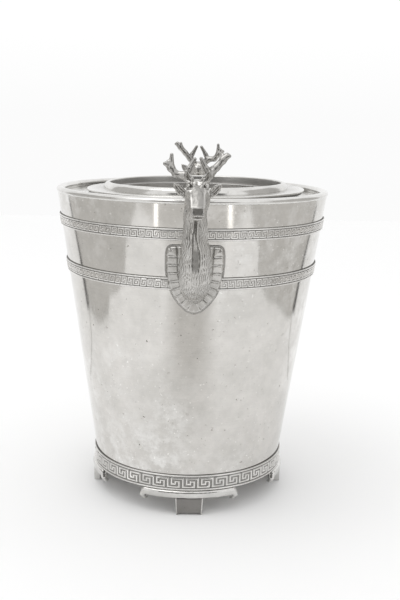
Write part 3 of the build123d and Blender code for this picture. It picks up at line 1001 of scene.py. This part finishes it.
def bust_painted_shade(points):
    """Painted shade on the nose pad, along the bridge between its edges, and in the breast's groove."""
    x, y, z = points.T / MM
    pad = 0.8 * stripe(x, -3.8, 3.8) * between(z, 245.0, 249.8, 0.8) * (y < -139.0)
    bridge = 0.42 * stripe(x, -4.6, 4.6) * between(z, 250.6, 264.0, 1.5) * (y < -127.0)
    groove = 0.6 * stripe(x, -3.2, 2.2) * between(z, 203.0, 219.0, 4.0) * (y < -112.0)
    return np.maximum(np.maximum(pad, bridge), groove)


def make_castings(materials):
    foot, stag, antler = materials["foot"], materials["stag"], materials["antler"]
    set_round("foot_bar", make_bar_mesh(), FOOT_TURNS, foot)
    set_round("foot_leg", make_leg_mesh(), FOOT_TURNS, foot, 0.3, leg_painted_shade)
    set_round("stag_plaque", make_plaque_mesh(), STAG_TURNS, stag, 0.24, plaque_seam_painted_shade)
    set_round("stag_bust", make_bust_mesh(), STAG_TURNS, stag, 0.8, bust_painted_shade)
    left = antler_mesh(LEFT_ANTLER, (0.5, -126.5, 262.5), (24.0, -110.5, 287.2), 41)
    right = antler_mesh(RIGHT_ANTLER, (-24.0, -126.5, 262.5), (-0.5, -110.5, 286.2), 43)
    set_round("antler_left", left, STAG_TURNS, antler)
    set_round("antler_right", right, STAG_TURNS, antler)


# ---- stage ----

# Edges of the white sheet under the bucket, in metres: (distance to the side, depth). The back edge runs
# on past the sheet's corner as the far edge of what the sheet lies on.
NEAR_EDGE = -0.56
PAPER_SIDES = {
    -1: [(0.54, NEAR_EDGE), (0.52, -0.35), (0.45, -0.27), (0.445, -0.19), (0.470, -0.10), (0.425, -0.07),
         (0.418, 0.0), (0.430, 0.06), (0.449, 0.11), (0.468, 0.14)],
    1: [(0.54, NEAR_EDGE), (0.52, -0.36), (0.45, -0.30), (0.447, -0.16), (0.473, -0.07), (0.468, 0.0),
        (0.455, 0.08), (0.450, 0.14), (0.468, 0.19)],
}
PAPER_BACK = [(0.235, 0.16), (0.369, 0.14), (0.468, 0.16), (0.55, 0.22), (0.66, 0.305), (0.84, 0.51),
              (1.06, 0.75)]
PAPER_CORNER = 2
# The light box: side walls, where they end, and the darker room beyond the open near end
BOX_SIDE = 1.1
BOX_BACK = 0.75
ROOM_BEHIND = -1.9
# Cards lie this high above the table, and edges twice as high
CARD_LIFT = 0.002


def stage_card(name, corners, material):
    mesh = bpy.data.meshes.new(name)
    mesh.from_pydata(corners, [], [tuple(range(len(corners)))])
    mesh.materials.append(material)
    card = bpy.data.objects.new(name, mesh)
    bpy.context.scene.collection.objects.link(card)
    return card


def faded(tree, glow):
    """A card's glow, fading out from its middle to its edge."""
    where = node(tree, "TexCoord").outputs["Generated"]
    centred = node(tree, "Mapping", Vector=where, Location=(-1, -1, 0), Scale=(2, 2, 0))
    fade = node(tree, "TexGradient", Vector=centred.outputs["Vector"])
    fade.gradient_type = "SPHERICAL"
    clear = node(tree, "BsdfTransparent").outputs[0]
    joined = node(tree, "MixShader")
    for place, source in enumerate((ramp(tree, fade.outputs["Fac"], 0.0, 0.55), clear, glow)):
        feed(tree, joined.inputs[place], source)
    return joined.outputs[0]


def glow_card(name, corners, radiance, soft=False):
    """Wall or patch of the light box, seen only as a reflection. A soft one fades to its edge."""
    made, tree, out = blank_material(name)
    warm = (radiance, radiance * 0.985, radiance * 0.96, 1)
    glow = node(tree, "Emission", Color=warm).outputs["Emission"]
    feed(tree, out.inputs["Surface"], faded(tree, glow) if soft else glow)
    made.cycles.emission_sampling = "NONE"
    card = stage_card(name, corners, made)
    card.visible_camera = False
    card.visible_diffuse = False
    card.visible_shadow = False
    card.visible_transmission = False


def level(left, start, right, end, height):
    """Corners of a level rectangle."""
    return [(left, start, height), (right, start, height), (right, end, height), (left, end, height)]


def upright(start, end, height):
    """Corners of an upright rectangle that stands on the table between two points."""
    return [(*start, 0), (*end, 0), (*end, height), (*start, height)]


def light_bar(name, start, end, half_width, radiance):
    """Straight bright bar on the floor between two points."""
    ahead = (Vector(end) - Vector(start)).normalized()
    side = Vector((ahead.y, -ahead.x)) * half_width
    corners = [Vector(start) - side, Vector(start) + side, Vector(end) + side, Vector(end) - side]
    glow_card(name, [(*corner, 2 * CARD_LIFT) for corner in corners], radiance)


def strip(points, wide, hand):
    """Corners of a strip on the floor along points, on its inner side."""
    near = [(hand * x, y, 2 * CARD_LIFT) for x, y in points]
    far = [(hand * (x - 0.3 * wide), y + wide, 2 * CARD_LIFT) for x, y in reversed(points)]
    return near + far


def make_paper_edges(hand, inner):
    """The floor beyond the sheet on one side, with the sheet's darker edges."""
    outer = PAPER_BACK[PAPER_CORNER:] + [(BOX_SIDE, NEAR_EDGE)]
    glow_card("sheet_side", [(hand * x, y, CARD_LIFT) for x, y in inner + outer], 0.68)
    edge = [(hand * x, y, 2 * CARD_LIFT) for x, y in inner]
    edge += [(hand * (x + 0.007), y, 2 * CARD_LIFT) for x, y in reversed(inner)]
    glow_card("sheet_side_edge", edge, 0.40)
    glow_card("sheet_back_edge", strip(PAPER_BACK[:PAPER_CORNER + 1], 0.010, hand), 0.55)
    glow_card("sheet_far_edge", strip(PAPER_BACK[PAPER_CORNER:], 0.040, hand), 0.10)


def make_stage():
    """White light box: pale floor, bright surroundings, greyer side walls and a darker near end."""
    paper = bpy.data.materials.new("paper")
    paper.use_nodes = True
    surface = paper.node_tree.nodes["Principled BSDF"]
    surface.inputs["Base Color"].default_value = (0.94, 0.94, 0.94, 1)
    surface.inputs["Roughness"].default_value = 0.9
    stage_card("table", level(-2.0, -2.0, 2.0, 2.0, 0), paper)

    world = bpy.data.worlds.new("light_box")
    bpy.context.scene.world = world
    world.use_nodes = True
    tree = world.node_tree
    where = node(tree, "TexCoord").outputs["Generated"]
    height = node(tree, "SeparateXYZ", Vector=where).outputs["Z"]
    sky = tree.nodes["Background"]
    feed(tree, sky.inputs["Color"], ramp(tree, height, 0.0, 0.16, 0.93))
    feed(tree, sky.inputs["Strength"], 1.04)

    glow_card("near_end", level(-1.6, NEAR_EDGE, 1.6, ROOM_BEHIND, CARD_LIFT), 0.74)
    for hand, inner in PAPER_SIDES.items():
        make_paper_edges(hand, inner)
        side = hand * BOX_SIDE
        glow_card("side_wall", upright((side, NEAR_EDGE), (side, BOX_BACK), 1.2), 0.55)
    glow_card("room_behind", upright((-1.3, ROOM_BEHIND), (1.3, ROOM_BEHIND), 1.1), 0.16)
    glow_card("camera_shade", level(-0.17, -0.80, 0.15, -0.12, 2 * CARD_LIFT), 0.70, soft=True)
    light_bar("lamp_bar_left", (-0.39, -0.70), (-0.32, -0.555), 0.017, 2.2)
    light_bar("lamp_bar_right", (0.376, -0.73), (0.316, -0.56), 0.022, 2.0)


def make_light():
    """Soft light from above, left and in front."""
    lamp = bpy.data.lights.new("top_softbox", "AREA")
    lamp.size = 0.6
    lamp.energy = 1.7
    place = Vector((-0.35, -0.25, 1.2))
    target = Vector((0, 0, 0.2))
    made = bpy.data.objects.new("top_softbox", lamp)
    made.location = place
    made.rotation_euler = (target - place).to_track_quat("-Z", "Y").to_euler()
    bpy.context.scene.collection.objects.link(made)


def make_camera():
    """Camera a little above the rim, looking down at the front stag."""
    place = Vector((-0.0204, -0.7425, 0.3116))
    heading = math.radians(2.2)
    pitch = math.radians(11.69)
    roll = math.radians(1.28)
    level_ahead = Vector((math.sin(heading), math.cos(heading), 0))
    ahead = level_ahead * math.cos(pitch) - Vector((0, 0, math.sin(pitch)))
    facing = ahead.to_track_quat("-Z", "Y").to_matrix().to_4x4()
    lens = bpy.data.cameras.new("camera")
    lens.sensor_width = 36
    lens.lens = 53.89
    made = bpy.data.objects.new("camera", lens)
    made.matrix_world = Matrix.Translation(place) @ facing @ Matrix.Rotation(roll, 4, "Z")
    bpy.context.scene.collection.objects.link(made)
    bpy.context.scene.camera = made


materials = make_materials()
for name in ("plaque_studs", "stud_nuts"):
    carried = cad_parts[name]
    carried.data.materials.clear()
    carried.data.materials.append(materials["fixing"])
make_wall(materials)
make_rim(materials)
make_inside(materials)
make_collar(materials)
make_bands(materials)
make_castings(materials)
make_stage()
make_light()
make_camera()
bpy.context.scene.view_settings.view_transform = "Standard"
